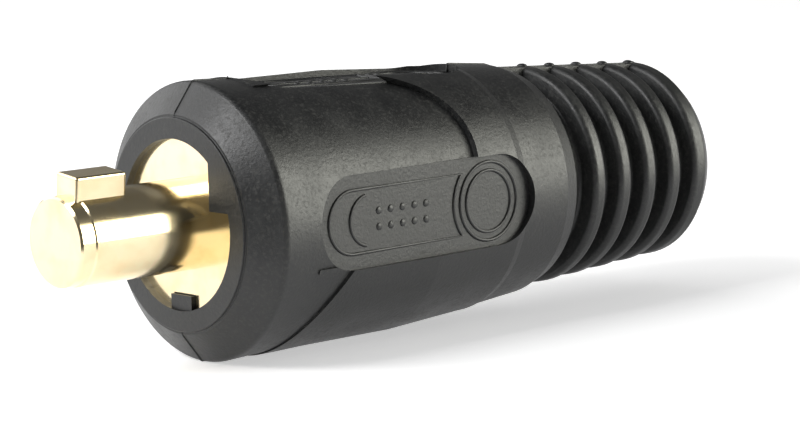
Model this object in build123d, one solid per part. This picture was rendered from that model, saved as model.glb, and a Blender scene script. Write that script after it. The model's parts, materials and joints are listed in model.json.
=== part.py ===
from build123d import *
import math
import os

# A welding cable plug: a keyed brass contact pin and cable socket in a moulded rubber sleeve.
# The axis of the plug is X. The pin points along -X, the cable enters from +X, and Z is up.
# The origin is on the axis, in the plane of the contact shoulder that the pin stands on.
# Angles about the axis are in degrees, from straight up (+Z) towards the -Y side.
# All lengths are in millimetres.

# Contact pin and its key
pin_radius = 6.5
pin_length = 21.8
pin_lead_length = 2.3
pin_lead_drop = 0.2
pin_chamfer = 0.3
key_angle = 6.5
key_width = 4.8
key_height = 2.8
key_setback = 1.6
key_length = 8.4
key_round = 0.4

# Brass cable socket behind the pin
flange_radius = 13.2
flange_thickness = 4.2
flange_edge = 0.4
socket_radius = 11.8
socket_end = 46.0
socket_bore_radius = 6.6
socket_bore_start = 16.0
socket_mouth_chamfer = 0.8

# Copper ferrule that wraps the bare strands
ferrule_wall = 0.5
ferrule_length = 27.0
ferrule_clearance = 0.1
ferrule_seam = 1.2

# Clamp screws, seated in the socket's wall over the ferrule
screw_radius = 5.0
screw_positions = (25.0, 37.0)
screw_clearance = 0.05
screw_sink = 0.9
screw_tip_gap = 0.2
screw_tip_chamfer = 0.6
hex_across_flats = 5.0
hex_depth = 2.6

# Rubber sleeve: the nose
lip_plane = 1.2
lip_radius = 15.2
lip_round = 0.15
lip_step = 0.4
nose_radius = 20.0
nose_end = 2.6
nose_round = 1.1
opening_radius = 12.2
opening_lug_side = 7.8
opening_lug_start = 2.6
seat_clearance = 0.1

# Rubber key that stops the brass from turning in the sleeve
lock_width = 4.6
lock_inner = 10.0
lock_recess = 0.5
lock_clearance = 0.15

# Rubber sleeve: the barrel behind the nose, with depths below the nose's radius
barrel_taper_start = 32.0
barrel_depth = 0.1
shoulder_start = 48.2
shoulder_depth = 1.1
shoulder_length = 1.4
shoulder_drop = 0.35
barrel_end = 58.7
barrel_end_depth = 2.25
bevel_length = 2.6
bevel_drop = 0.8

# Rubber sleeve: the front shell with its two tongues, sunk below the barrel
collar_end = 9.0
shell_start = 3.2
shell_end = 40.4
shell_end_depth = 1.6
tongue_angle = 62.0
tongue_half_width = 14.1
web_angle = 142.0
web_start = 7.8
web_side = 10.9
web_radius = 29.4

# Rubber sleeve: the four flat pads, with their floors sunk below the nose's radius
pad_angles = (0.0, 90.0, 180.0, 270.0)
pad_half_width = 6.7
pad_start = 9.0
pad_end = 51.2
pad_front_depth = 1.6
pad_rear_depth = 2.85

# Rubber sleeve: the ribbed tail
rib_count = 5
rib_pitch = 5.85
rib_first = 66.8
rib_radius = 16.8
rib_taper = 0.34
rib_depth = 2.8
rib_crest_half = 1.15
rib_root_half = 1.75
rib_crest_round = 0.9
rib_root_round = 0.5
tail_length = 3.4
tail_drop = 1.6
tail_round = 1.1

# Rubber sleeve: the two spines that join the ribs, at the top and at the bottom
spine_half_width = 1.5
spine_sink = 0.15

# Rubber sleeve: the inside
socket_fit = 0.1
throat_radius = 8.75
throat_start = 52.0
throat_mouth_chamfer = 0.8

groove_front = 0.7
run_out = 1.0
tiny = 0.05


def around(shape, angle):
    """Turn a shape about the plug's axis, from straight up towards the -Y side."""
    return Rot(X=angle) * shape


def turned(points):
    """A solid of revolution about the axis, from (place, radius) points."""
    return revolve(Plane.XZ * make_face(Polyline(*points, close=True)), axis=Axis.X)


def tube(start, end, radius):
    """A round bar on the axis between two planes."""
    return Pos(X=start) * extrude(Plane.YZ * Circle(radius), amount=end - start)


def bar(start, end, half_width, low, high):
    """A straight block on top of the axis, along it."""
    block = Box(end - start, 2 * half_width, high - low)
    return Pos((start + end) / 2, 0, (low + high) / 2) * block


def wedge(start, end, start_height, end_height, limit, half_width):
    """A block along the axis between a sloping plane and a given distance from the axis."""
    side = Plane.XZ * make_face(Polyline(
        (start, start_height),
        (end, end_height),
        (end, limit),
        (start, limit),
        close=True,
    ))
    return extrude(side, amount=half_width, both=True)


def obround(start, end, half_width, low, high):
    """A block with two half-round ends, standing on the axis and running along it."""
    middle = (start + end) / 2
    outline = Pos(X=middle) * SlotOverall(end - start, 2 * half_width)
    return Pos(Z=low) * extrude(outline, amount=high - low)


def corners_at(face, radii):
    """Corners of a profile that stand at one of the given radii from the axis."""
    return [v for v in face.vertices() if any(abs(v.Z - r) < 1e-4 for r in radii)]


# Brass contact body, one turned piece with a milled key
def make_contact_body():
    pin_tip = -pin_length
    outline = [
        (pin_tip, 0),
        (pin_tip, pin_radius - pin_lead_drop - pin_chamfer),
        (pin_tip + pin_chamfer, pin_radius - pin_lead_drop),
        (pin_tip + pin_lead_length, pin_radius - pin_lead_drop),
        (pin_tip + pin_lead_length + pin_lead_drop, pin_radius),
        (0, pin_radius),
        (0, flange_radius - flange_edge),
        (flange_edge, flange_radius),
        (flange_thickness, flange_radius),
        (flange_thickness, socket_radius),
        (socket_end - socket_mouth_chamfer, socket_radius),
        (socket_end, socket_radius - socket_mouth_chamfer),
        (socket_end, 0),
    ]
    body = turned(outline)
    key_start = pin_tip + key_setback
    key_top = pin_radius + key_height
    key = bar(key_start, key_start + key_length, key_width / 2, 0, key_top)
    key = fillet(key.edges().filter_by(Axis.Z) + key.edges().group_by(Axis.Z)[-1], key_round)
    body += around(key, key_angle)

    drill_point = socket_bore_radius * math.tan(math.radians(31))
    bore = turned([
        (socket_bore_start - drill_point, 0),
        (socket_bore_start, socket_bore_radius),
        (socket_end - socket_mouth_chamfer, socket_bore_radius),
        (socket_end + tiny, socket_bore_radius + socket_mouth_chamfer + tiny),
        (socket_end + tiny, 0),
    ])
    body -= bore
    for place in screw_positions:
        hole = extrude(Circle(screw_radius + screw_clearance), amount=socket_radius + 1)
        body -= Pos(X=place) * hole

    notch_half = lock_width / 2 + lock_clearance
    notch = bar(-1, flange_thickness + 1, notch_half, lock_inner - lock_clearance, flange_radius + 1)
    return body - around(notch, 180)


# Copper ferrule, rolled from strip with an open seam at the bottom
def make_ferrule():
    outer = socket_bore_radius - ferrule_clearance
    end = socket_end - socket_mouth_chamfer
    start = end - ferrule_length
    ferrule = tube(start, end, outer) - tube(start - 1, end + 1, outer - ferrule_wall)
    seam = bar(start - 1, end + 1, ferrule_seam / 2, 0, outer + 1)
    return ferrule - around(seam, 180)


# Socket-head clamp screw, standing in the wall over the ferrule
def make_clamp_screw(place):
    tip = socket_bore_radius - ferrule_clearance + screw_tip_gap
    top = socket_radius - screw_sink
    screw = extrude(Circle(screw_radius), amount=top - tip)
    screw = chamfer(screw.edges().filter_by(GeomType.CIRCLE), screw_tip_chamfer)
    socket = extrude(RegularPolygon(hex_across_flats / 2, 6, major_radius=False), amount=hex_depth)
    screw -= Pos(Z=top - tip - hex_depth) * socket
    return Pos(place, 0, tip) * screw


# Outside of the sleeve, all turned: nose, barrel, bevel, ribs and tail
def outer_profile():
    lip = -lip_plane
    rib_radii = [rib_radius - rib_taper * i for i in range(rib_count)]
    roots = [r - rib_depth for r in rib_radii]
    bevel_end = barrel_end + bevel_length
    points = [
        (lip, 0),
        (lip, lip_radius),
        (lip + lip_step, lip_radius),
        (lip + lip_step, lip_radius + lip_step),
        (nose_end, nose_radius),
        (barrel_taper_start, nose_radius - barrel_depth),
        (shoulder_start, nose_radius - shoulder_depth),
        (shoulder_start + shoulder_length, nose_radius - shoulder_depth - shoulder_drop),
        (barrel_end, nose_radius - barrel_end_depth),
        (bevel_end, nose_radius - barrel_end_depth - bevel_drop),
        (bevel_end + groove_front, roots[0]),
    ]
    for i in range(rib_count):
        middle = rib_first + rib_pitch * i
        points.append((middle - rib_root_half, roots[i]))
        points.append((middle - rib_crest_half, rib_radii[i]))
        points.append((middle + rib_crest_half, rib_radii[i]))
        if i < rib_count - 1:
            points.append((middle + rib_root_half, roots[i]))
    end = rib_first + rib_pitch * (rib_count - 1) + tail_length
    points += [(end, rib_radii[-1] - tail_drop), (end, 0)]
    face = Plane.XZ * make_face(Polyline(*points, close=True))
    face = fillet(corners_at(face, [lip_radius]), lip_round)
    face = fillet(corners_at(face, [nose_radius]), nose_round)
    face = fillet(corners_at(face, rib_radii), rib_crest_round)
    face = fillet(corners_at(face, roots), rib_root_round)
    face = fillet(corners_at(face, [rib_radii[-1] - tail_drop]), tail_round)
    return face, end


# Spine on top of the tail, which joins the ribs across their grooves
def make_spine():
    slope = rib_taper / rib_pitch
    start = barrel_end + bevel_length / 2
    end = rib_first + rib_pitch * (rib_count - 1) + rib_crest_half
    start_radius = rib_radius - spine_sink - slope * (start - rib_first)
    end_radius = rib_radius - spine_sink - slope * (end - rib_first)
    depth = rib_depth + run_out
    return wedge(start, end, start_radius, end_radius, start_radius - depth, spine_half_width)


# What is cut away over the front shell: a collar with two round-ended tongues, and a curve between them
def make_shell_cut():
    beyond = nose_radius + 5
    slope = shell_end_depth / (shell_end - shell_start)
    over = turned([
        (shell_start - run_out, nose_radius + slope * run_out),
        (shell_end + run_out, nose_radius - shell_end_depth - slope * run_out),
        (shell_end + run_out, beyond),
        (shell_start - run_out, beyond),
    ])
    keep = tube(shell_start - 2 * run_out, collar_end, beyond + 1)
    tongue = obround(-tongue_half_width, shell_end, tongue_half_width, 0, beyond + 1)
    web_rise = web_radius - math.sqrt(web_radius**2 - (web_start + web_side)**2)
    web_edge = Line((0, -web_start), (collar_end, -web_start))
    web_edge += TangentArc((collar_end, -web_start), (collar_end + web_rise, web_side), tangent=(0, 1))
    web_edge += Polyline((collar_end + web_rise, web_side), (0, web_side), (0, -web_start))
    web = extrude(make_face(web_edge), amount=beyond + 1)
    for half_turn in (0, 180):
        keep += around(tongue, tongue_angle + half_turn)
        keep += around(web, web_angle + half_turn)
    return over & keep


# Block with a pad's outline, between its sloping floor and a given distance from the axis
def make_pad(limit):
    front = nose_radius - pad_front_depth
    rear = nose_radius - pad_rear_depth
    block = wedge(pad_start, pad_end, front, rear, limit, pad_half_width)
    return block & obround(pad_start, pad_end, pad_half_width, 0, nose_radius + 5)


# Rubber sleeve, one moulding
def make_sleeve():
    face, end = outer_profile()
    sleeve = revolve(face, axis=Axis.X) - make_shell_cut()
    for half_turn in (0, 180):
        sleeve += around(make_spine(), half_turn)
    for angle in pad_angles:
        sleeve -= around(make_pad(nose_radius + 3), angle)
    for angle in pad_angles:
        sleeve += around(make_pad(socket_radius + run_out), angle)

    pocket_radius = flange_radius + seat_clearance
    bore_radius = socket_radius + socket_fit
    inside = turned([
        (0, 0),
        (0, pocket_radius),
        (flange_thickness + seat_clearance, pocket_radius),
        (flange_thickness + seat_clearance, bore_radius),
        (socket_end + seat_clearance, bore_radius),
        (throat_start, throat_radius),
        (end - throat_mouth_chamfer, throat_radius),
        (end + tiny, throat_radius + throat_mouth_chamfer + tiny),
        (end + tiny, 0),
    ])
    opening = tube(-lip_plane - 1, 0, opening_radius)
    lug_width = opening_radius - opening_lug_side
    lug_centre = opening_lug_side + lug_width / 2
    lug = Pos(0, -lug_centre, opening_lug_start + opening_radius / 2)
    lug *= Box(4 * lip_plane, lug_width, opening_radius)
    sleeve -= inside
    sleeve -= opening - lug

    lock_start = lock_recess - lip_plane
    lock = bar(lock_start, flange_thickness, lock_width / 2, lock_inner, pocket_radius + 1)
    return sleeve + around(lock, 180)


def main():
    os.makedirs("parts", exist_ok=True)
    parts = {
        "contact_body": make_contact_body(),
        "strand_ferrule": make_ferrule(),
        "rubber_sleeve": make_sleeve(),
    }
    for i, place in enumerate(screw_positions, start=1):
        parts[f"clamp_screw_{i}"] = make_clamp_screw(place)
    for name, shape in parts.items():
        export_step(shape, f"parts/{name}.step")


main()
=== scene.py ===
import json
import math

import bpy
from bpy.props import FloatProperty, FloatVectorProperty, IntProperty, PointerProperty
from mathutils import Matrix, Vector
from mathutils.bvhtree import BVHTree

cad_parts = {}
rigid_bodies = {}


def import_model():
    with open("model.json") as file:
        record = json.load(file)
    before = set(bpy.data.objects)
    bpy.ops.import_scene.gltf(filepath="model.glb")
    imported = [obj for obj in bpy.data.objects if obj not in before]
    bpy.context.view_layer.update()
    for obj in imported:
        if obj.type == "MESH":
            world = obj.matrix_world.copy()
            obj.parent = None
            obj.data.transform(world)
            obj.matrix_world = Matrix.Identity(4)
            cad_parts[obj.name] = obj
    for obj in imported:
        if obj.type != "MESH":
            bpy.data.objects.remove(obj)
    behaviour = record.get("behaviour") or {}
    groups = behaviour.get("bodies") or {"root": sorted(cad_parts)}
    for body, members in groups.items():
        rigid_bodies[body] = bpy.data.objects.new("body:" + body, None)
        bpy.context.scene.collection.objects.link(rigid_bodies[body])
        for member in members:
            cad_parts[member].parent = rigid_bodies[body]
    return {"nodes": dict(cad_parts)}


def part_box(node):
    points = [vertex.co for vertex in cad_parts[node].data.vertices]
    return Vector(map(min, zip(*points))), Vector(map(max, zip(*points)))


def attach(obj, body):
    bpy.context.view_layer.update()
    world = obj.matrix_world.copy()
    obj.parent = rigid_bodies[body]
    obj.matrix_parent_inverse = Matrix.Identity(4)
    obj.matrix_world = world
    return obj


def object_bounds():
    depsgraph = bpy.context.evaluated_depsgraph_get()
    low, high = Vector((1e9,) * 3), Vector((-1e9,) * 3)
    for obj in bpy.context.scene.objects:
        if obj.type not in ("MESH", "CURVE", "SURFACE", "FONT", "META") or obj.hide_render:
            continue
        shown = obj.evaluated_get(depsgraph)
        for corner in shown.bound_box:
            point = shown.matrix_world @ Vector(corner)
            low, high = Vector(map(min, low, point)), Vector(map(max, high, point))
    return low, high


bl_info = {
    "name": "Welding Cable Plug",
    "version": (1, 0, 0),
    "blender": (4, 5, 0),
    "location": "View3D > Sidebar > Plug",
    "description": "Finishes a welding cable plug: rubber sleeve, brass contact, copper ferrule and screws",
    "category": "Object",
}

for leftover in list(bpy.data.objects):
    bpy.data.objects.remove(leftover)

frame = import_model()
cad_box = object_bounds()

# The plug's axis is X. The pin points along -X, the cable enters from +X, and Z is up.
# Angles about the axis run from straight up towards the -Y side.
MM = 0.001
TOUCHING = 1e-6 * MM
BODY = "root"
SLEEVE = "rubber_sleeve"
CONTACT = "contact_body"
FERRULE = "strand_ferrule"
SCREWS = ("clamp_screw_1", "clamp_screw_2")
TOP, NEAR_SIDE, BOTTOM = 0.0, math.pi / 2, math.pi


# Helpers for properties, nodes and meshes

def linear(code):
    """The linear colour of an sRGB hex value such as #A0B1C2."""
    shares = [int(code[i:i + 2], 16) / 255 for i in (1, 3, 5)]
    return [s / 12.92 if s <= 0.04045 else ((s + 0.055) / 1.055) ** 2.4 for s in shares]


def length(name, description, millimetres):
    """A property that holds a length, given in millimetres."""
    return FloatProperty(name=name, description=description, default=millimetres * MM,
                         subtype="DISTANCE", unit="LENGTH")


def tint(name, description, code):
    """A property that holds a colour, given as an sRGB hex value."""
    return FloatVectorProperty(name=name, description=description, default=linear(code),
                               subtype="COLOR", min=0, max=1)


def fraction(name, description, default):
    """A property that holds a share, a roughness or a strength from 0 to 1."""
    return FloatProperty(name=name, description=description, default=default, min=0, max=1)


def add(tree, kind, inputs=None, **settings):
    """Add a node with its settings. An input takes a value or another node's output."""
    node = tree.nodes.new(kind)
    for name, value in settings.items():
        setattr(node, name, value)
    for socket, value in (inputs or {}).items():
        if isinstance(value, bpy.types.NodeSocket):
            tree.links.new(value, node.inputs[socket])
        else:
            node.inputs[socket].default_value = value
    return node


def new_material(name):
    """An empty material with its output node."""
    material = bpy.data.materials.new(name)
    material.use_nodes = True
    tree = material.node_tree
    tree.nodes.clear()
    return material, tree, tree.nodes.new("ShaderNodeOutputMaterial")


def new_shape_tree(name, inputs):
    """A Geometry Nodes tree with named inputs, and its two end nodes."""
    tree = bpy.data.node_groups.new(name, "GeometryNodeTree")
    tree.interface.new_socket("Geometry", in_out="INPUT", socket_type="NodeSocketGeometry")
    for label, kind in inputs.items():
        tree.interface.new_socket(label, in_out="INPUT", socket_type=kind)
    tree.interface.new_socket("Geometry", in_out="OUTPUT", socket_type="NodeSocketGeometry")
    return tree, tree.nodes.new("NodeGroupInput"), tree.nodes.new("NodeGroupOutput")


def close_shape_tree(tree, geometry, source, target):
    """End a tree with real geometry, smooth faces and its material."""
    real = add(tree, "GeometryNodeRealizeInstances", {"Geometry": geometry})
    smooth = add(tree, "GeometryNodeSetShadeSmooth", {"Geometry": real.outputs["Geometry"]})
    painted = add(tree, "GeometryNodeSetMaterial", {
        "Geometry": smooth.outputs["Geometry"],
        "Material": source.outputs["Material"],
    })
    tree.links.new(painted.outputs["Geometry"], target.inputs["Geometry"])


def grow(name, tree, values, material, mesh=None):
    """Run a tree on a mesh and keep the result as one plain piece on the plug."""
    carrier = bpy.data.objects.new(f"{name}_carrier", mesh or bpy.data.meshes.new(f"{name}_seed"))
    bpy.context.scene.collection.objects.link(carrier)
    modifier = carrier.modifiers.new(name, "NODES")
    modifier.node_group = tree
    for item in tree.interface.items_tree:
        if item.in_out == "INPUT" and item.name in values:
            modifier[item.identifier] = values[item.name]
        elif item.in_out == "INPUT" and item.name == "Material":
            modifier[item.identifier] = material
    bpy.context.view_layer.update()
    evaluated = carrier.evaluated_get(bpy.context.evaluated_depsgraph_get())
    result = bpy.data.meshes.new_from_object(evaluated)
    bpy.data.objects.remove(carrier)
    piece = bpy.data.objects.new(name, result)
    piece.data.name = name
    piece.data.materials.clear()
    piece.data.materials.append(material)
    bpy.context.scene.collection.objects.link(piece)
    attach(piece, BODY)
    return piece


def edge_mesh(name, paths):
    """A mesh of loose edges from lists of points. A path that ends where it starts is closed."""
    points, edges = [], []
    for path in paths:
        closed = (Vector(path[0]) - Vector(path[-1])).length < TOUCHING
        first = len(points)
        points += path[:-1] if closed else path
        edges += [(i, i + 1) for i in range(first, len(points) - 1)]
        if closed:
            edges.append((len(points) - 1, first))
    mesh = bpy.data.meshes.new(name)
    mesh.from_pydata(points, edges, [])
    return mesh


def around(point, angle):
    """Turn a point about the axis, from straight up towards the -Y side."""
    return Matrix.Rotation(angle, 3, "X") @ Vector(point)


def sleeve_finish():
    """The material that the sleeve has."""
    return frame["nodes"][SLEEVE].material_slots[0].material


def sleeve_surface():
    """A function that gives the sleeve's outer radius at a place on the axis and an angle."""
    mesh = frame["nodes"][SLEEVE].data
    tree = BVHTree.FromPolygons([v.co for v in mesh.vertices], [p.vertices for p in mesh.polygons])
    outside = 30 * MM

    def radius(x, angle):
        outward = around((0, 0, 1), angle)
        hit = tree.ray_cast(Vector((x, 0, 0)) + outside * outward, -outward)
        return outside - hit[3]

    return radius


# Sizes and colours that a user would change

class PlugRubber(bpy.types.PropertyGroup):
    """Colours and grain of the sleeve"""
    colour: tint("Rubber", "Colour of the moulded rubber", "#1B1C1D")
    bloom: tint("Bloom", "Colour where the rubber has a dusty bloom", "#2B2C2C")
    dust: tint("Dust", "Colour of the specks of dust that cling to the rubber", "#3A3A38")
    mottle: length("Mottle", "Width of a patch of bloom", 5)
    speck: length("Speck", "Distance between specks of dust", 0.55)
    grain: length("Grain", "Width of one grain of the moulded surface", 0.5)
    relief: length("Relief", "Height of the grain", 0.045)
    roughness: fraction("Roughness", "Roughness of clean rubber", 0.38)
    bloom_roughness: fraction("Bloom roughness", "Roughness where the bloom is thickest", 0.5)
    dust_roughness: fraction("Dust roughness", "Roughness that a speck of dust adds", 0.2)


class PlugBrass(bpy.types.PropertyGroup):
    """Colours and tool marks of the contact"""
    colour: tint("Brass", "Colour of the polished brass", "#F8E7BF")
    tarnish: tint("Tarnish", "Colour of the first tarnish", "#E9CF96")
    tarnish_share: fraction("Tarnish share", "Most of the tarnish's colour that a patch takes", 0.6)
    patch: length("Patch", "Width of a patch of tarnish", 4)
    turning: length("Turning", "Spacing of the tool marks", 0.18)
    relief: length("Relief", "Depth of the tool marks", 0.0015)
    bright: fraction("Bright", "Roughness where the polish is best", 0.11)
    dull: fraction("Dull", "Roughness where the polish is worn", 0.23)


class PlugCopper(bpy.types.PropertyGroup):
    """Colours and rolling lines of the ferrule"""
    colour: tint("Copper", "Colour of the copper strip", "#D98B66")
    shade: tint("Shade", "Colour of the darker rolling lines", "#B0603F")
    line: length("Rolling line", "Width of a rolling line", 0.25)
    stretch: FloatProperty(name="Stretch", description="How many times as long as wide a rolling line is",
                           default=20, min=1)
    relief: length("Relief", "Depth of the rolling lines", 0.004)
    roughness: fraction("Roughness", "Roughness of the strip", 0.3)


class PlugSteel(bpy.types.PropertyGroup):
    """Colours and blotches of the clamp screws"""
    colour: tint("Steel", "Colour of the black oxide", "#2C2D30")
    thin: tint("Thin oxide", "Colour where the oxide is thin", "#4A4B4D")
    blotch: length("Blotch", "Width of a blotch in the oxide", 0.8)
    bright: fraction("Bright", "Roughness where the oxide is thick", 0.32)
    dull: fraction("Dull", "Roughness where the oxide is thin", 0.5)


class PlugMarks(bpy.types.PropertyGroup):
    """Sizes and places of the raised marks on the pads"""
    ring_place: length("Ring place", "Middle of the rings, behind the contact shoulder", 42.65)
    ring_radius: length("Ring radius", "Radius of the outer ring", 5.75)
    inner_ring_radius: length("Inner ring radius", "Radius of the inner ring", 4.5)
    field_start: length("Field start", "Front of the marking field, behind the contact shoulder", 11.4)
    field_gap: length("Field gap", "Gap between the marking field and the outer ring", 1.3)
    field_half_width: length("Field half width", "Half the width of the marking field", 4.5)
    arc_start: length("Arc start", "Front of the arc inside the marking field", 15.4)
    arc_radius: length("Arc radius", "Radius of the arc inside the marking field", 3.6)
    arc_reach: FloatProperty(name="Arc reach", description="How far the arc turns to each side of its front",
                             default=math.radians(79.2), subtype="ANGLE", unit="ROTATION")
    line: length("Line", "Height and half width of a raised line", 0.26)
    dot_radius: length("Dot radius", "Radius of a raised dot", 0.55)
    dot_height: length("Dot height", "Height of a raised dot", 0.22)
    dot_pitch: length("Dot pitch", "Distance between dots", 2.3)
    dots_along: IntProperty(name="Dots along", description="Dots in a row", default=5, min=1)
    dots_across: IntProperty(name="Dots across", description="Rows of dots", default=2, min=1)
    dots_shift: length("Dots shift", "How far behind the field's middle the dots stand", 2)


class PlugMould(bpy.types.PropertyGroup):
    """Sizes and places of what the mould leaves on the sleeve"""
    seam: length("Seam", "Height and half width of the parting line", 0.17)
    seam_step: length("Seam step", "Distance between the parting line's points", 0.2)
    rib_count: IntProperty(name="Ribs", description="Ribs of the tail that carry flash on their tops",
                           default=5, min=1)
    first_rib: length("First rib", "Middle of the first rib, behind the contact shoulder", 66.8)
    rib_pitch: length("Rib pitch", "Distance from rib to rib", 5.85)
    nub_size: FloatVectorProperty(name="Flash", default=(0.75 * MM, 0.9 * MM, 0.40 * MM),
                                  description="Half the length, width and height of the flash on a rib",
                                  subtype="XYZ", unit="LENGTH")


class PlugStage(bpy.types.PropertyGroup):
    """Camera, floor and room"""
    camera_place: FloatVectorProperty(name="Camera", description="Where the camera stands",
                                      default=(-0.2534, -0.3326, 0.0599), precision=4,
                                      subtype="TRANSLATION", unit="LENGTH")
    camera_aim: FloatVectorProperty(name="Aim", description="Where the camera looks",
                                    default=(0.0090, -0.0360, 0.0037), precision=4,
                                    subtype="TRANSLATION", unit="LENGTH")
    camera_roll: FloatProperty(name="Roll", description="Tilt of the camera about its line of sight",
                               default=math.radians(-1.61), subtype="ANGLE", unit="ROTATION")
    lens: FloatProperty(name="Lens", description="Focal length", default=135, subtype="DISTANCE_CAMERA")
    paper: tint("Floor", "Colour of the floor", "#F2F2F2")
    glow: fraction("Glow", "Brightness that the floor has of its own", 0.5)
    ambient: fraction("Ambient", "Strength of the light from all round", 0.3)
    ceiling: fraction("Ceiling", "Brightness of the room in reflections", 0.1)
    horizon: FloatProperty(name="Horizon", description="How high the white horizon reaches in reflections",
                           default=0.15, min=0.01, max=1)
    unlit_side: FloatVectorProperty(name="Unlit side", description="Direction of the room's unlit side",
                                    default=(-0.6, -0.8, 0.0), subtype="DIRECTION")
    unlit_start: fraction("Unlit start", "Cosine from the unlit side at which the dark starts", 0.35)
    unlit_full: fraction("Unlit full", "Cosine from the unlit side at which the dark is full", 0.65)
    paper_reach: length("Floor's reach", "Where the floor fades on the unlit side, in reflections", 70)
    paper_fade: length("Floor's fade", "Distance over which the floor fades there", 28)


# Moulded EPDM rubber: matt and charcoal black, with the fine grain of a spark-eroded mould, a
# faint bloom in patches, and clinging dust that shows as a speckle where it catches the light.
# The grain and the specks are drawn coarser than real ones, so that they show.
def rubber_material():
    look = bpy.context.scene.plug_rubber
    material, tree, out = new_material("moulded_epdm_rubber")
    place = add(tree, "ShaderNodeTexCoord").outputs["Object"]
    patches = add(tree, "ShaderNodeTexNoise", {
        "Vector": place, "Scale": 1 / look.mottle, "Detail": 4.0, "Roughness": 0.6})
    grain = add(tree, "ShaderNodeTexNoise", {
        "Vector": place, "Scale": 1 / look.grain, "Detail": 3.0, "Roughness": 0.6})
    bloom = add(tree, "ShaderNodeMapRange", {
        "Value": patches.outputs["Fac"], "From Min": 0.35, "From Max": 0.75})
    colour = add(tree, "ShaderNodeMix", {
        "Factor": bloom.outputs["Result"], "A": (*look.colour, 1), "B": (*look.bloom, 1)},
        data_type="RGBA")
    specks = add(tree, "ShaderNodeTexNoise", {
        "Vector": place, "Scale": 1 / look.speck, "Detail": 3.0, "Roughness": 0.7})
    dust = add(tree, "ShaderNodeMapRange", {
        "Value": specks.outputs["Fac"], "From Min": 0.5, "From Max": 0.72})
    dusty = add(tree, "ShaderNodeMix", {
        "Factor": dust.outputs["Result"], "A": colour.outputs["Result"], "B": (*look.dust, 1)},
        data_type="RGBA")
    rough = add(tree, "ShaderNodeMapRange", {
        "Value": bloom.outputs["Result"], "To Min": look.roughness, "To Max": look.bloom_roughness})
    dull = add(tree, "ShaderNodeMath", {
        0: dust.outputs["Result"], 1: look.dust_roughness, 2: rough.outputs["Result"]},
        operation="MULTIPLY_ADD")
    bump = add(tree, "ShaderNodeBump", {
        "Height": grain.outputs["Fac"], "Strength": 1.0, "Distance": look.relief})
    shader = add(tree, "ShaderNodeBsdfPrincipled", {
        "Base Color": dusty.outputs["Result"], "Roughness": dull.outputs["Value"],
        "Normal": bump.outputs["Normal"], "IOR": 1.52, "Specular IOR Level": 0.5})
    tree.links.new(shader.outputs["BSDF"], out.inputs["Surface"])
    return material


# Turned and polished free-cutting brass: pale gold, with fine rings from the tool on every
# turned face, and a first trace of tarnish.
def brass_material():
    look = bpy.context.scene.plug_brass
    material, tree, out = new_material("turned_polished_brass")
    place = add(tree, "ShaderNodeTexCoord").outputs["Object"]
    axes = add(tree, "ShaderNodeSeparateXYZ", {"Vector": place})
    across = add(tree, "ShaderNodeCombineXYZ", {"Y": axes.outputs["Y"], "Z": axes.outputs["Z"]})
    radius = add(tree, "ShaderNodeVectorMath", {0: across.outputs["Vector"]}, operation="LENGTH")
    turned = add(tree, "ShaderNodeCombineXYZ", {"X": axes.outputs["X"], "Y": radius.outputs["Value"]})
    rings = add(tree, "ShaderNodeTexNoise", {
        "Vector": turned.outputs["Vector"], "Scale": 1 / look.turning, "Detail": 3.0, "Roughness": 0.7})
    patches = add(tree, "ShaderNodeTexNoise", {"Vector": place, "Scale": 1 / look.patch, "Detail": 5.0})
    tarnish = add(tree, "ShaderNodeMapRange", {
        "Value": patches.outputs["Fac"], "From Min": 0.45, "From Max": 0.8,
        "To Max": look.tarnish_share})
    colour = add(tree, "ShaderNodeMix", {
        "Factor": tarnish.outputs["Result"], "A": (*look.colour, 1), "B": (*look.tarnish, 1)},
        data_type="RGBA")
    rough = add(tree, "ShaderNodeMapRange", {
        "Value": patches.outputs["Fac"], "To Min": look.bright, "To Max": look.dull})
    bump = add(tree, "ShaderNodeBump", {
        "Height": rings.outputs["Fac"], "Strength": 1.0, "Distance": look.relief})
    shader = add(tree, "ShaderNodeBsdfPrincipled", {
        "Base Color": colour.outputs["Result"], "Roughness": rough.outputs["Result"],
        "Normal": bump.outputs["Normal"], "Metallic": 1.0})
    tree.links.new(shader.outputs["BSDF"], out.inputs["Surface"])
    return material


# Rolled copper strip: soft red metal with fine lines along the strip.
def copper_material():
    look = bpy.context.scene.plug_copper
    material, tree, out = new_material("rolled_copper_strip")
    place = add(tree, "ShaderNodeTexCoord").outputs["Object"]
    stretched = add(tree, "ShaderNodeMapping", {"Vector": place, "Scale": (1 / look.stretch, 1.0, 1.0)})
    lines = add(tree, "ShaderNodeTexNoise", {
        "Vector": stretched.outputs["Vector"], "Scale": 1 / look.line, "Detail": 3.0})
    colour = add(tree, "ShaderNodeMix", {
        "Factor": lines.outputs["Fac"], "A": (*look.colour, 1), "B": (*look.shade, 1)},
        data_type="RGBA")
    bump = add(tree, "ShaderNodeBump", {
        "Height": lines.outputs["Fac"], "Strength": 1.0, "Distance": look.relief})
    shader = add(tree, "ShaderNodeBsdfPrincipled", {
        "Base Color": colour.outputs["Result"], "Roughness": look.roughness,
        "Normal": bump.outputs["Normal"], "Metallic": 1.0})
    tree.links.new(shader.outputs["BSDF"], out.inputs["Surface"])
    return material


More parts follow.
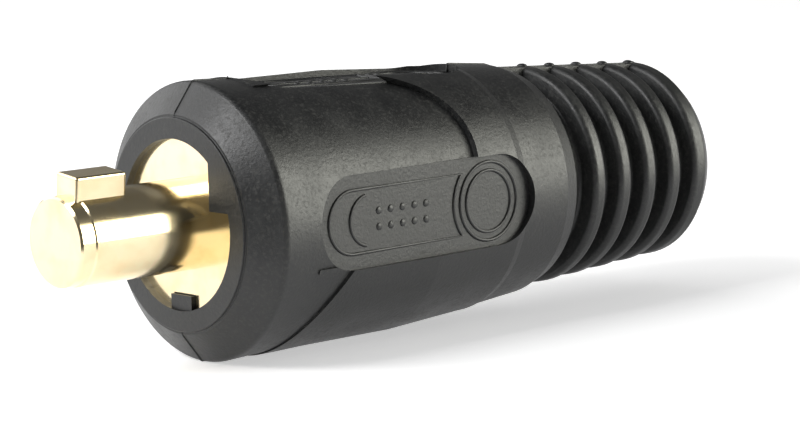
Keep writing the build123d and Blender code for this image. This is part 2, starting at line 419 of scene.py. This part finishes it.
# Black-oxide steel: dark grey metal with a dull, slightly blotched skin.
def steel_material():
    look = bpy.context.scene.plug_steel
    material, tree, out = new_material("black_oxide_steel")
    place = add(tree, "ShaderNodeTexCoord").outputs["Object"]
    blotches = add(tree, "ShaderNodeTexNoise", {"Vector": place, "Scale": 1 / look.blotch, "Detail": 4.0})
    colour = add(tree, "ShaderNodeMix", {
        "Factor": blotches.outputs["Fac"], "A": (*look.colour, 1), "B": (*look.thin, 1)},
        data_type="RGBA")
    rough = add(tree, "ShaderNodeMapRange", {
        "Value": blotches.outputs["Fac"], "To Min": look.bright, "To Max": look.dull})
    shader = add(tree, "ShaderNodeBsdfPrincipled", {
        "Base Color": colour.outputs["Result"], "Roughness": rough.outputs["Result"], "Metallic": 1.0})
    tree.links.new(shader.outputs["BSDF"], out.inputs["Surface"])
    return material


# Shape trees

def raised_line_tree():
    """Half-round raised lines along every edge of a mesh."""
    tree, source, target = new_shape_tree("raised_line", {
        "Line": "NodeSocketFloat", "Material": "NodeSocketMaterial"})
    path = add(tree, "GeometryNodeMeshToCurve", {"Mesh": source.outputs["Geometry"]})
    section = add(tree, "GeometryNodeCurvePrimitiveCircle", {
        "Resolution": 10, "Radius": source.outputs["Line"]})
    ridge = add(tree, "GeometryNodeCurveToMesh", {
        "Curve": path.outputs["Curve"], "Profile Curve": section.outputs["Curve"], "Fill Caps": True})
    close_shape_tree(tree, ridge.outputs["Mesh"], source, target)
    return tree


def dot_field_tree():
    """A grid of round dots, half sunk in a flat pad."""
    tree, source, target = new_shape_tree("dot_field", {
        "Along": "NodeSocketInt", "Across": "NodeSocketInt", "Pitch": "NodeSocketFloat",
        "Size": "NodeSocketVector", "Tilt": "NodeSocketRotation", "Place": "NodeSocketVector",
        "Turn": "NodeSocketRotation", "Material": "NodeSocketMaterial"})
    spans = []
    for count in ("Along", "Across"):
        gaps = add(tree, "ShaderNodeMath", {0: source.outputs[count], 1: 1.0}, operation="SUBTRACT")
        span = add(tree, "ShaderNodeMath", {0: gaps.outputs["Value"], 1: source.outputs["Pitch"]},
                   operation="MULTIPLY")
        spans.append(span.outputs["Value"])
    grid = add(tree, "GeometryNodeMeshGrid", {
        "Size X": spans[0], "Size Y": spans[1],
        "Vertices X": source.outputs["Along"], "Vertices Y": source.outputs["Across"]})
    dot = add(tree, "GeometryNodeMeshIcoSphere", {"Radius": 1.0, "Subdivisions": 4})
    dots = add(tree, "GeometryNodeInstanceOnPoints", {
        "Points": grid.outputs["Mesh"], "Instance": dot.outputs["Mesh"], "Scale": source.outputs["Size"]})
    lifted = add(tree, "GeometryNodeTransform", {
        "Geometry": dots.outputs["Instances"], "Translation": source.outputs["Place"],
        "Rotation": source.outputs["Tilt"]})
    turned = add(tree, "GeometryNodeTransform", {
        "Geometry": lifted.outputs["Geometry"], "Rotation": source.outputs["Turn"]})
    close_shape_tree(tree, turned.outputs["Geometry"], source, target)
    return tree


def flash_tree():
    """Small nubs of flash, one on the top of each rib."""
    tree, source, target = new_shape_tree("rib_flash", {
        "Count": "NodeSocketInt", "First": "NodeSocketVector", "Step": "NodeSocketVector",
        "Size": "NodeSocketVector", "Material": "NodeSocketMaterial"})
    places = add(tree, "GeometryNodeMeshLine", {
        "Count": source.outputs["Count"], "Start Location": source.outputs["First"],
        "Offset": source.outputs["Step"]}, mode="OFFSET")
    nub = add(tree, "GeometryNodeMeshIcoSphere", {"Radius": 1.0, "Subdivisions": 3})
    nubs = add(tree, "GeometryNodeInstanceOnPoints", {
        "Points": places.outputs["Mesh"], "Instance": nub.outputs["Mesh"], "Scale": source.outputs["Size"]})
    close_shape_tree(tree, nubs.outputs["Instances"], source, target)
    return tree


# Operators, one for each piece or group of like pieces

class PLUG_OT_rubber_sleeve(bpy.types.Operator):
    """Give the sleeve its moulded rubber"""
    bl_idname = "plug.rubber_sleeve"
    bl_label = "Rubber sleeve"

    def execute(self, context):
        frame["nodes"][SLEEVE].material_slots[0].material = rubber_material()
        return {"FINISHED"}


class PLUG_OT_contact_body(bpy.types.Operator):
    """Give the contact its turned and polished brass"""
    bl_idname = "plug.contact_body"
    bl_label = "Brass contact"

    def execute(self, context):
        frame["nodes"][CONTACT].material_slots[0].material = brass_material()
        return {"FINISHED"}


class PLUG_OT_clamping(bpy.types.Operator):
    """Give the ferrule its copper and the clamp screws their blackened steel"""
    bl_idname = "plug.clamping"
    bl_label = "Ferrule and clamp screws"

    def execute(self, context):
        frame["nodes"][FERRULE].material_slots[0].material = copper_material()
        steel = steel_material()
        for name in SCREWS:
            frame["nodes"][name].material_slots[0].material = steel
        return {"FINISHED"}


class PLUG_OT_pad_marks(bpy.types.Operator):
    """Raise plain rings, a field with an arc, and dots on the top pad and the near side pad"""
    bl_idname = "plug.pad_marks"
    bl_label = "Pad marks"

    def execute(self, context):
        marks = context.scene.plug_marks
        rubber = sleeve_finish()
        radius = sleeve_surface()
        line_tree, dot_tree = raised_line_tree(), dot_field_tree()
        middle = (marks.field_start + marks.ring_place - marks.ring_radius - marks.field_gap) / 2
        outlines = (circle_points(marks.ring_place, marks.ring_radius),
                    circle_points(marks.ring_place, marks.inner_ring_radius),
                    field_points(marks),
                    circle_points(marks.arc_start + marks.arc_radius, marks.arc_radius, marks.arc_reach))
        for label, angle in (("top", TOP), ("side", NEAR_SIDE)):
            height, slope = pad_floor(radius, middle, marks.ring_place, angle)
            paths = [[around((x, y, height + slope * (x - middle)), angle) for x, y in outline]
                     for outline in outlines]
            lines = grow(f"pad_lines_{label}", line_tree, {"Line": marks.line}, rubber,
                         edge_mesh(f"pad_lines_{label}", paths))
            dots = grow(f"pad_dots_{label}", dot_tree, {
                "Along": marks.dots_along, "Across": marks.dots_across, "Pitch": marks.dot_pitch,
                "Size": (marks.dot_radius, marks.dot_radius, marks.dot_height),
                "Tilt": (0.0, -math.atan(slope), 0.0),
                "Place": (middle + marks.dots_shift, 0.0, height + slope * marks.dots_shift),
                "Turn": (angle, 0.0, 0.0)}, rubber)
        return {"FINISHED"}


def pad_floor(radius, place, other_place, angle):
    """The height of a pad's sloping floor at a place, and its slope."""
    height = radius(place, angle)
    return height, (radius(other_place, angle) - height) / (other_place - place)


def circle_points(place, radius, reach=math.pi, steps=64):
    """A circle on a pad, or an arc that turns less far to each side of its front."""
    turns = [math.pi - reach + 2 * reach * i / steps for i in range(steps + 1)]
    return [(place + radius * math.cos(turn), radius * math.sin(turn)) for turn in turns]


def field_points(marks, steps=24):
    """A closed field on a pad, with a half-round front and a hollow rear that clears the ring."""
    half = marks.field_half_width
    front = marks.field_start + half
    hollow = marks.ring_radius + marks.field_gap
    reach = math.asin(half / hollow)
    points = []
    for i in range(steps + 1):
        turn = math.pi / 2 + math.pi * i / steps
        points.append((front + half * math.cos(turn), half * math.sin(turn)))
    for i in range(steps + 1):
        turn = -reach + 2 * reach * i / steps
        points.append((marks.ring_place - hollow * math.cos(turn), hollow * math.sin(turn)))
    return points + points[:1]


class PLUG_OT_mould_marks(bpy.types.Operator):
    """Add the fine parting line of the mould and the flash where it crosses the ribs"""
    bl_idname = "plug.mould_marks"
    bl_label = "Mould marks"

    def execute(self, context):
        mould = context.scene.plug_mould
        rubber = sleeve_finish()
        radius = sleeve_surface()
        paths = [seam_points(radius, mould.seam_step, angle) for angle in (TOP, BOTTOM)]
        seam = grow("parting_line", raised_line_tree(), {"Line": mould.seam}, rubber,
                    edge_mesh("parting_line", paths))
        last_rib = mould.first_rib + mould.rib_pitch * (mould.rib_count - 1)
        height = radius(mould.first_rib, TOP)
        drop = (radius(last_rib, TOP) - height) / max(mould.rib_count - 1, 1)
        flash = grow("rib_flash", flash_tree(), {
            "Count": mould.rib_count, "First": (mould.first_rib, 0.0, height),
            "Step": (mould.rib_pitch, 0.0, drop), "Size": mould.nub_size}, rubber)
        return {"FINISHED"}


def seam_points(radius, step, angle):
    """Points on the sleeve's surface, from two steps behind its front to three before its rear."""
    low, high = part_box(SLEEVE)
    points = []
    x = low.x + 2 * step
    while x < high.x - 3 * step:
        points.append(around((x, 0, radius(x, angle)), angle))
        x += step
    return points


class PLUG_OT_stage(bpy.types.Operator):
    """Set the white floor, the soft lights and the camera"""
    bl_idname = "plug.stage"
    bl_label = "Stage"

    def execute(self, context):
        scene = context.scene
        stage = scene.plug_stage
        scene.view_settings.view_transform = "Standard"
        lay_floor(stage)
        light_world(stage)
        softbox("softbox_back", place=(-0.276, 0.650, 0.376), size=(1.10, 0.60), watts=4.2)
        softbox("softbox_left", place=(-0.536, 0.114, 0.511), size=(0.35, 0.35), watts=3.8)
        softbox("softbox_right", place=(0.40, -0.40, 0.145), size=(0.45, 0.40), watts=4.5,
                light="#FFFFF3", gleam_only=True)
        place_camera(scene, stage)
        return {"FINISHED"}


def lay_floor(stage):
    """A wide white floor that keeps the plug's shadow and ends early in reflections on one side."""
    reach = 3.0
    level = cad_box[0][2]
    mesh = bpy.data.meshes.new("floor")
    corners = [(-reach, -reach, level), (reach, -reach, level), (reach, reach, level), (-reach, reach, level)]
    mesh.from_pydata(corners, [], [(0, 1, 2, 3)])
    floor = bpy.data.objects.new("floor", mesh)
    bpy.context.scene.collection.objects.link(floor)
    material, tree, out = new_material("white_paper")
    path = add(tree, "ShaderNodeLightPath")
    seen = add(tree, "ShaderNodeMath", {
        0: path.outputs["Is Camera Ray"], 1: path.outputs["Is Glossy Ray"]}, operation="MAXIMUM")
    lift = add(tree, "ShaderNodeMath", {0: seen.outputs["Value"], 1: stage.glow}, operation="MULTIPLY")
    paper = add(tree, "ShaderNodeBsdfDiffuse", {"Color": (*stage.paper, 1)})
    glow = add(tree, "ShaderNodeEmission", {"Strength": lift.outputs["Value"]})
    bright = add(tree, "ShaderNodeAddShader", {0: paper.outputs["BSDF"], 1: glow.outputs["Emission"]})
    place = add(tree, "ShaderNodeTexCoord").outputs["Object"]
    away = add(tree, "ShaderNodeVectorMath", {0: place, 1: stage.unlit_side}, operation="DOT_PRODUCT")
    beyond = add(tree, "ShaderNodeMapRange", {
        "Value": away.outputs["Value"], "From Min": stage.paper_reach,
        "From Max": stage.paper_reach + stage.paper_fade})
    hidden = add(tree, "ShaderNodeMath", {
        0: beyond.outputs["Result"], 1: path.outputs["Is Glossy Ray"]}, operation="MULTIPLY")
    dim = add(tree, "ShaderNodeEmission", {"Strength": stage.ceiling})
    mixed = add(tree, "ShaderNodeMixShader", {
        "Fac": hidden.outputs["Value"], 1: bright.outputs["Shader"], 2: dim.outputs["Emission"]})
    tree.links.new(mixed.outputs["Shader"], out.inputs["Surface"])
    mesh.materials.append(material)


def light_world(stage):
    """A white surround for the camera, a soft light from all round, and a room for reflections.

    The room is dark above, white at the horizon, and dark on its unlit side.
    """
    world = bpy.data.worlds.new("studio")
    bpy.context.scene.world = world
    world.use_nodes = True
    tree = world.node_tree
    tree.nodes.clear()
    out = tree.nodes.new("ShaderNodeOutputWorld")
    path = add(tree, "ShaderNodeLightPath")
    direction = add(tree, "ShaderNodeTexCoord").outputs["Generated"]
    axes = add(tree, "ShaderNodeSeparateXYZ", {"Vector": direction})
    fall = add(tree, "ShaderNodeMath", {0: axes.outputs["Z"], 1: -1 / stage.horizon}, operation="MULTIPLY")
    fade = add(tree, "ShaderNodeMath", {0: fall.outputs["Value"]}, operation="EXPONENT")
    low = add(tree, "ShaderNodeMath", {0: fade.outputs["Value"], 1: 1.0}, operation="MINIMUM")
    away = add(tree, "ShaderNodeVectorMath", {0: direction, 1: stage.unlit_side}, operation="DOT_PRODUCT")
    lit = add(tree, "ShaderNodeMapRange", {
        "Value": away.outputs["Value"], "From Min": stage.unlit_start, "From Max": stage.unlit_full,
        "To Min": 1.0, "To Max": 0.0})
    share = add(tree, "ShaderNodeMath", {0: low.outputs["Value"], 1: lit.outputs["Result"]},
                operation="MULTIPLY")
    brightness = add(tree, "ShaderNodeMapRange", {
        "Value": share.outputs["Value"], "To Min": stage.ceiling, "To Max": 1.0})
    mirrored = add(tree, "ShaderNodeMath", {
        0: path.outputs["Is Glossy Ray"], 1: path.outputs["Is Transmission Ray"]}, operation="MAXIMUM")
    white = (1, 1, 1, 1)
    light = add(tree, "ShaderNodeBackground", {"Color": white, "Strength": stage.ambient})
    room = add(tree, "ShaderNodeBackground", {"Color": white, "Strength": brightness.outputs["Result"]})
    surround = add(tree, "ShaderNodeBackground", {"Color": white, "Strength": 1.0})
    unseen = add(tree, "ShaderNodeMixShader", {
        "Fac": mirrored.outputs["Value"], 1: light.outputs["Background"], 2: room.outputs["Background"]})
    mixed = add(tree, "ShaderNodeMixShader", {
        "Fac": path.outputs["Is Camera Ray"], 1: unseen.outputs["Shader"],
        2: surround.outputs["Background"]})
    tree.links.new(mixed.outputs["Shader"], out.inputs["Surface"])


def softbox(name, place, size, watts, light="#FFFFFF", gleam_only=False):
    """A soft rectangular lamp that faces the plug. One for gleam only adds no diffuse light."""
    data = bpy.data.lights.new(name, "AREA")
    data.shape = "RECTANGLE"
    data.size, data.size_y = size
    data.energy = watts
    data.color = linear(light)
    lamp = bpy.data.objects.new(name, data)
    lamp.location = place
    middle = (Vector(cad_box[0]) + Vector(cad_box[1])) / 2
    lamp.rotation_euler = (middle - Vector(place)).to_track_quat("-Z", "Y").to_euler()
    lamp.visible_camera = False
    lamp.visible_diffuse = not gleam_only
    bpy.context.scene.collection.objects.link(lamp)


def place_camera(scene, stage):
    """The camera at the photograph's place and angle."""
    data = bpy.data.cameras.new("camera")
    data.lens = stage.lens
    data.sensor_width = 36
    data.clip_start = 0.01
    camera = bpy.data.objects.new("camera", data)
    scene.collection.objects.link(camera)
    place = Vector(stage.camera_place)
    sight = (Vector(stage.camera_aim) - place).to_track_quat("-Z", "Y").to_matrix().to_4x4()
    camera.matrix_world = Matrix.Translation(place) @ sight @ Matrix.Rotation(stage.camera_roll, 4, "Z")
    scene.camera = camera


class PLUG_PT_panel(bpy.types.Panel):
    """The plug's steps in order, and its sizes and colours"""
    bl_idname = "PLUG_PT_panel"
    bl_label = "Welding cable plug"
    bl_space_type = "VIEW_3D"
    bl_region_type = "UI"
    bl_category = "Plug"

    def draw(self, context):
        for operator in OPERATORS:
            self.layout.operator(operator.bl_idname)
        for name in GROUPS:
            box = self.layout.box()
            group = getattr(context.scene, name)
            for key in group.bl_rna.properties.keys():
                if key not in ("rna_type", "name"):
                    box.prop(group, key)


GROUPS = {
    "plug_rubber": PlugRubber,
    "plug_brass": PlugBrass,
    "plug_copper": PlugCopper,
    "plug_steel": PlugSteel,
    "plug_marks": PlugMarks,
    "plug_mould": PlugMould,
    "plug_stage": PlugStage,
}
OPERATORS = (
    PLUG_OT_rubber_sleeve,
    PLUG_OT_contact_body,
    PLUG_OT_clamping,
    PLUG_OT_pad_marks,
    PLUG_OT_mould_marks,
    PLUG_OT_stage,
)


def register():
    for group in GROUPS.values():
        bpy.utils.register_class(group)
    for operator in OPERATORS:
        bpy.utils.register_class(operator)
    bpy.utils.register_class(PLUG_PT_panel)
    for name, group in GROUPS.items():
        setattr(bpy.types.Scene, name, PointerProperty(type=group))


def unregister():
    for name in GROUPS:
        delattr(bpy.types.Scene, name)
    bpy.utils.unregister_class(PLUG_PT_panel)
    for operator in reversed(OPERATORS):
        bpy.utils.unregister_class(operator)
    for group in reversed(GROUPS.values()):
        bpy.utils.unregister_class(group)


def main():
    register()
    for operator in OPERATORS:
        area, action = operator.bl_idname.split(".")
        getattr(getattr(bpy.ops, area), action)()


if __name__ == "__main__":
    main()
